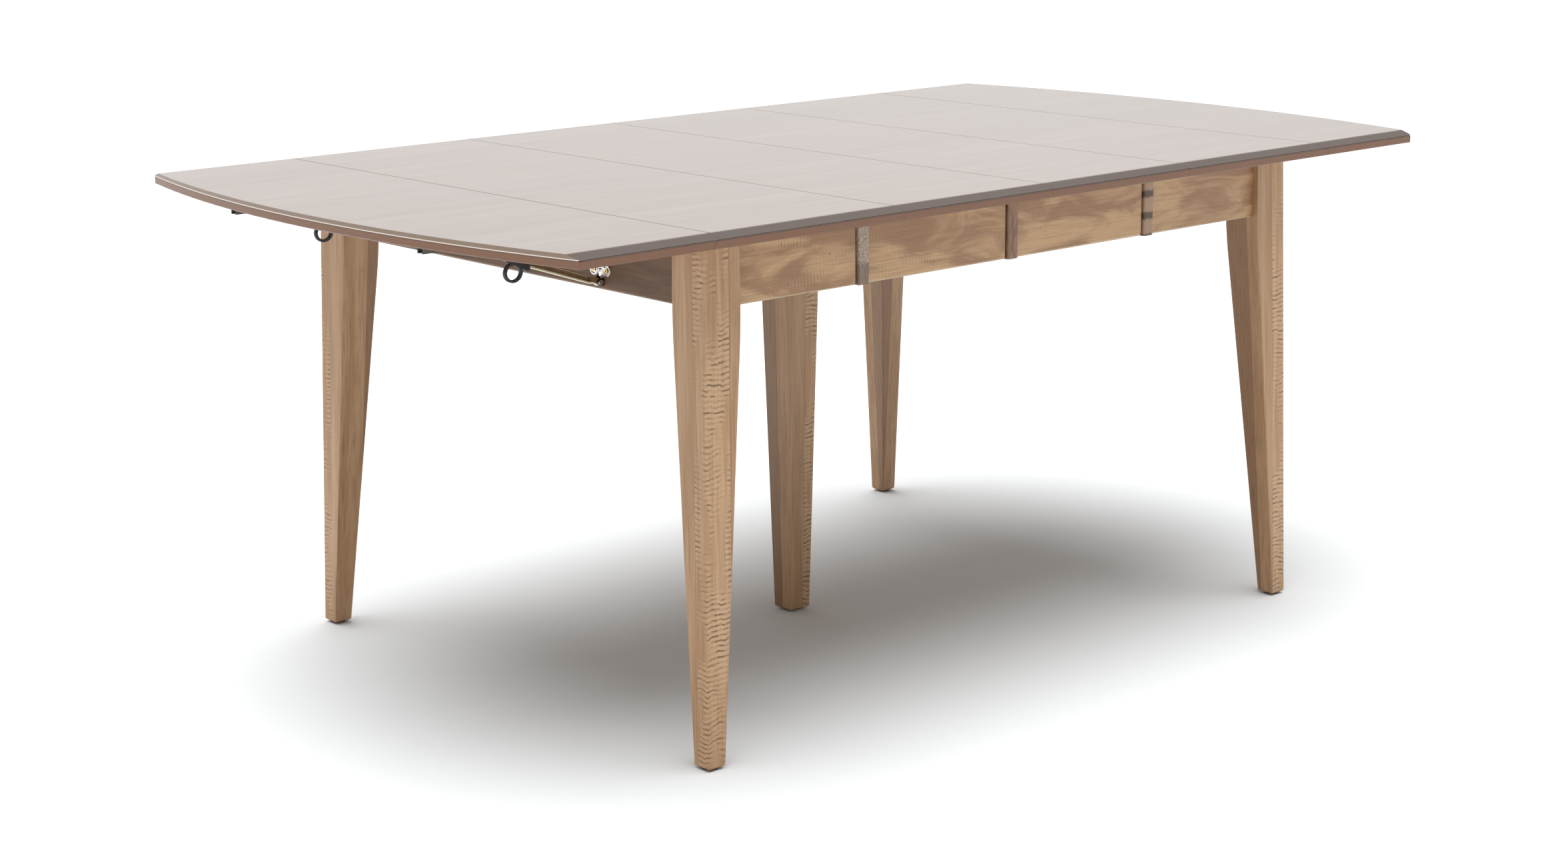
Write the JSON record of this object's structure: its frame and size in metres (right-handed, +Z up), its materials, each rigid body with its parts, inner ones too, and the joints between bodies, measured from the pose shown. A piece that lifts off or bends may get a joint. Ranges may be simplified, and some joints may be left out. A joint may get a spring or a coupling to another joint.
{
  "type": "drop-leaf extension table",
  "caption": "Long wooden dining table with bowed ends, rule-jointed drop leaves on folding ring-pull supports, lift-out extension leaves and tapered legs.",
  "frame": {"origin": "on the floor under the middle of the table", "axes": "+X along the length of the table, +Y across it, +Z up"},
  "size_m": [1.8796, 1.0668, 0.762],
  "materials": {
    "top_maple": "glossy lacquered maple",
    "frame_maple": "satin lacquered figured maple",
    "end_grain": "end grain under satin lacquer",
    "inner_wood": "plain planed hardwood",
    "black_plastic": "fine moulded texture",
    "yellow_zinc": "yellow passivated zinc plate",
    "bright_plate": "bright nickel plate",
    "brass_screw": "yellow passivated",
    "zinc_steel": "zinc plated",
    "glide_nylon": "dark nylon"
  },
  "bodies": {
    "centre": {"centre_block": "inner_wood", "centre_bolt": "zinc_steel", "centre_glide": "glide_nylon", "centre_leg": "frame_maple", "centre_screws": "zinc_steel", "centre_slide_bars": "inner_wood"},
    "leaf_1": {"leaf_1_aprons": "frame_maple", "leaf_1_panel": "top_maple", "leaf_1_seam_blocks": "end_grain"},
    "leaf_2": {"leaf_2_aprons": "frame_maple", "leaf_2_panel": "top_maple", "leaf_2_seam_blocks": "end_grain"},
    "left_half": {"left_back_leg": "frame_maple", "left_bracket_screws": "brass_screw", "left_corner_blocks": "inner_wood", "left_end_apron": "frame_maple", "left_front_leg": "frame_maple", "left_glides": "glide_nylon", "left_hanger_bolts": "zinc_steel", "left_hinge_pins": "zinc_steel", "left_hinge_plates": "zinc_steel", "left_pivot_pins": "bright_plate", "left_seam_blocks": "end_grain", "left_side_aprons": "frame_maple", "left_slide_bars": "inner_wood", "left_support_brackets": "bright_plate", "left_top": "top_maple", "left_top_screws": "zinc_steel"},
    "left_drop": {"left_drop_leaf": "top_maple", "left_leaf_hinge_plates": "zinc_steel", "left_leaf_screws": "zinc_steel", "left_support_tracks": "zinc_steel"},
    "left_front_strut_body": {"left_front_strut": "yellow_zinc"},
    "left_front_slider_body": {"left_front_slider": "black_plastic"},
    "left_back_strut_body": {"left_back_strut": "yellow_zinc"},
    "left_back_slider_body": {"left_back_slider": "black_plastic"},
    "right_half": {"right_back_leg": "frame_maple", "right_bracket_screws": "brass_screw", "right_corner_blocks": "inner_wood", "right_end_apron": "frame_maple", "right_front_leg": "frame_maple", "right_glides": "glide_nylon", "right_hanger_bolts": "zinc_steel", "right_hinge_pins": "zinc_steel", "right_hinge_plates": "zinc_steel", "right_pivot_pins": "bright_plate", "right_side_aprons": "frame_maple", "right_slide_bars": "inner_wood", "right_support_brackets": "bright_plate", "right_top": "top_maple", "right_top_screws": "zinc_steel"},
    "right_drop": {"right_drop_leaf": "top_maple", "right_leaf_hinge_plates": "zinc_steel", "right_leaf_screws": "zinc_steel", "right_support_tracks": "zinc_steel"},
    "right_front_strut_body": {"right_front_strut": "yellow_zinc"},
    "right_front_slider_body": {"right_front_slider": "black_plastic"},
    "right_back_strut_body": {"right_back_strut": "yellow_zinc"},
    "right_back_slider_body": {"right_back_slider": "black_plastic"}
  },
  "joints": [
    {"name": "extension_left", "type": "slide", "parent": "centre", "child": "left_half", "axis": [-1, 0, 0], "range_m": [0, 0.06]},
    {"name": "extension_right", "type": "slide", "parent": "centre", "child": "right_half", "axis": [1, 0, 0], "range_m": [0, 0.06]},
    {"name": "leaf_1_lift", "type": "slide", "parent": "centre", "child": "leaf_1", "axis": [0, 0, 1], "range_m": [0, 0.16]},
    {"name": "leaf_2_lift", "type": "slide", "parent": "centre", "child": "leaf_2", "axis": [0, 0, 1], "range_m": [0, 0.16]},
    {"name": "left_leaf_drop", "type": "hinge", "parent": "left_half", "child": "left_drop", "pos_m": [-0.6408, 0, 0.7445], "axis": [0, -1, 0], "range_deg": [0, 90]},
    {"name": "left_front_strut_fold", "type": "hinge", "parent": "left_half", "child": "left_front_strut_body", "pos_m": [-0.6151, -0.236, 0.657], "axis": [0, -1, 0], "range_deg": [0, 112.13]},
    {"name": "left_front_slider_slide", "type": "slide", "parent": "left_drop", "child": "left_front_slider_body", "axis": [-1, 0, 0], "range_m": [0, 0.12226]},
    {"name": "left_back_strut_fold", "type": "hinge", "parent": "left_half", "child": "left_back_strut_body", "pos_m": [-0.6151, 0.236, 0.657], "axis": [0, -1, 0], "range_deg": [0, 112.13]},
    {"name": "left_back_slider_slide", "type": "slide", "parent": "left_drop", "child": "left_back_slider_body", "axis": [-1, 0, 0], "range_m": [0, 0.12226]},
    {"name": "right_leaf_drop", "type": "hinge", "parent": "right_half", "child": "right_drop", "pos_m": [0.6408, 0, 0.7445], "axis": [0, 1, 0], "range_deg": [0, 90]},
    {"name": "right_front_strut_fold", "type": "hinge", "parent": "right_half", "child": "right_front_strut_body", "pos_m": [0.6151, -0.236, 0.657], "axis": [0, 1, 0], "range_deg": [0, 112.13]},
    {"name": "right_front_slider_slide", "type": "slide", "parent": "right_drop", "child": "right_front_slider_body", "axis": [1, 0, 0], "range_m": [0, 0.12226]},
    {"name": "right_back_strut_fold", "type": "hinge", "parent": "right_half", "child": "right_back_strut_body", "pos_m": [0.6151, 0.236, 0.657], "axis": [0, 1, 0], "range_deg": [0, 112.13]},
    {"name": "right_back_slider_slide", "type": "slide", "parent": "right_drop", "child": "right_back_slider_body", "axis": [1, 0, 0], "range_m": [0, 0.12226]}
  ],
  "couplings": [
    {"joint": "extension_right", "follows": "extension_left", "ratio": 1},
    {"joint": "left_front_strut_fold", "follows": "left_leaf_drop", "ratio": 1.2437},
    {"joint": "left_front_slider_slide", "follows": "left_leaf_drop", "m_per_rad": 0.077517},
    {"joint": "left_back_strut_fold", "follows": "left_leaf_drop", "ratio": 1.2437},
    {"joint": "left_back_slider_slide", "follows": "left_leaf_drop", "m_per_rad": 0.077517},
    {"joint": "right_front_strut_fold", "follows": "right_leaf_drop", "ratio": 1.2437},
    {"joint": "right_front_slider_slide", "follows": "right_leaf_drop", "m_per_rad": 0.077517},
    {"joint": "right_back_strut_fold", "follows": "right_leaf_drop", "ratio": 1.2437},
    {"joint": "right_back_slider_slide", "follows": "right_leaf_drop", "m_per_rad": 0.077517}
  ]
}
